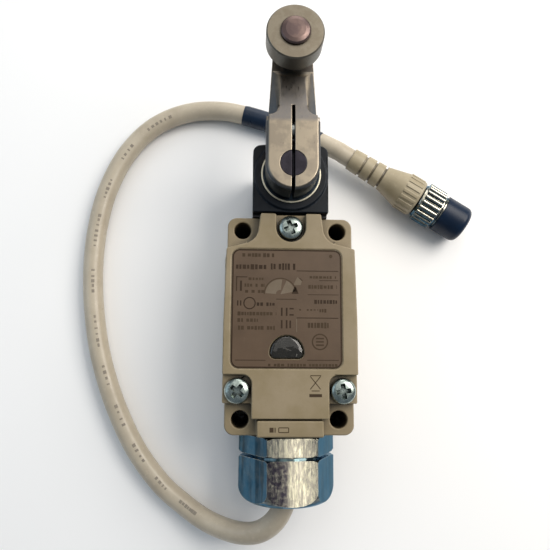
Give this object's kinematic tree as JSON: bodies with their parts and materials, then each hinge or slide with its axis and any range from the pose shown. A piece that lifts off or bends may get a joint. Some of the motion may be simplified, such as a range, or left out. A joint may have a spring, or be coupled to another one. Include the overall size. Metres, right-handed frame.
{
  "type": "limit switch",
  "caption": "Roller-lever limit switch in a painted die-cast case with a sprung swinging lever, a conduit gland and a short lead ending in a round screw plug.",
  "frame": {"origin": "centre of the four-hole mounting pattern, on the flat back face of the housing", "axes": "+X across the housing, +Y along it from the gland towards the roller, +Z out of the front cover; the switch lies on its back"},
  "size_m": [0.1428, 0.1654, 0.0569],
  "materials": {
    "painted_casting": "satin beige paint on die-cast aluminium",
    "dark_casting": "satin near-black paint on a casting",
    "nameplate": "brown-grey printed label",
    "lens": "smoky clear moulding",
    "lamp": "clear orange lens",
    "circuit_board": "green laminate",
    "rubber": "black nitrile rubber",
    "zinc_screw": "blue-passivated zinc plate",
    "satin_steel": "satin, lightly blasted",
    "ground_steel": "ground",
    "pin_steel": "browned, domed head",
    "sintered_steel": "sintered, oiled",
    "bronze": "sintered bronze",
    "spring_steel": "drawn wire",
    "phenolic": "dark moulded plastic",
    "button": "red-brown moulding",
    "contact_brass": "stamped",
    "wire": "insulated cores",
    "nickel": "bright nickel plate",
    "cable_jacket": "beige-grey vinyl",
    "navy_sleeve": "dark navy vinyl"
  },
  "bodies": {
    "switch": {"housing": "painted_casting", "front_cover": "painted_casting", "cover_gasket": "rubber", "cover_screws": "zinc_screw", "nameplate": "nameplate", "window_lens": "lens", "lamp_holder": "phenolic", "lamp_board": "circuit_board", "indicator_lamp": "lamp", "head_casting": "dark_casting", "head_gasket": "rubber", "head_screws": "zinc_screw", "shaft_bush": "bronze", "shaft_oring": "rubber", "angle_ring": "satin_steel", "plunger_guide": "bronze", "switch_case": "phenolic", "switch_case_cover": "phenolic", "nc_contacts": "contact_brass", "no_contacts": "contact_brass", "terminal_screws": "zinc_screw", "switch_screws": "zinc_screw", "lead_wires": "wire", "gland_body": "nickel", "gland_washer": "rubber", "gland_seal": "rubber", "gland_slip_ring": "contact_brass", "gland_nut": "nickel", "cable": "cable_jacket", "cable_sleeve": "navy_sleeve", "connector_grip": "cable_jacket", "contact_carrier": "phenolic", "contact_pins": "contact_brass"},
    "lever": {"lever_arm": "satin_steel", "clamp_bolt": "zinc_screw", "shaft": "ground_steel", "shaft_cam": "ground_steel", "cam_pin": "ground_steel", "roller_pin": "pin_steel"},
    "roller": {"roller": "sintered_steel", "roller_bush": "bronze"},
    "plunger": {"plunger": "ground_steel", "return_spring": "spring_steel"},
    "contact_carriage": {"switch_button": "button", "contact_bridge": "contact_brass", "contact_spring": "spring_steel"},
    "coupling_nut": {"coupling_nut": "nickel"},
    "dust_cap": {"dust_cap": "navy_sleeve"}
  },
  "joints": [
    {"name": "lever_swing", "type": "hinge", "parent": "switch", "child": "lever", "pos_m": [0, 0.047, 0.042], "axis": [0, 0, 1], "range_deg": [-45, 45], "stiffness_Nm_per_rad": 0.45},
    {"name": "roller_spin", "type": "hinge", "parent": "lever", "child": "roller", "pos_m": [0, 0.085, 0.0517], "axis": [0, 0, 1], "continuous": true},
    {"name": "plunger_slide", "type": "slide", "parent": "switch", "child": "plunger", "axis": [0, -1, 0], "range_m": [0, 0.0012], "stiffness_N_per_m": 600},
    {"name": "contact_slide", "type": "slide", "parent": "switch", "child": "contact_carriage", "axis": [0, -1, 0], "range_m": [0, 0.0012]},
    {"name": "coupling_nut_spin", "type": "hinge", "parent": "switch", "child": "coupling_nut", "pos_m": [0.05379, 0.04593, 0.0075], "axis": [0.8526, -0.5225, 0], "continuous": true},
    {"name": "dust_cap_pull", "type": "slide", "parent": "coupling_nut", "child": "dust_cap", "axis": [0.8526, -0.5225, 0], "range_m": [0, 0.014]}
  ],
  "couplings": [
    {"joint": "contact_slide", "follows": "plunger_slide", "ratio": 1}
  ]
}
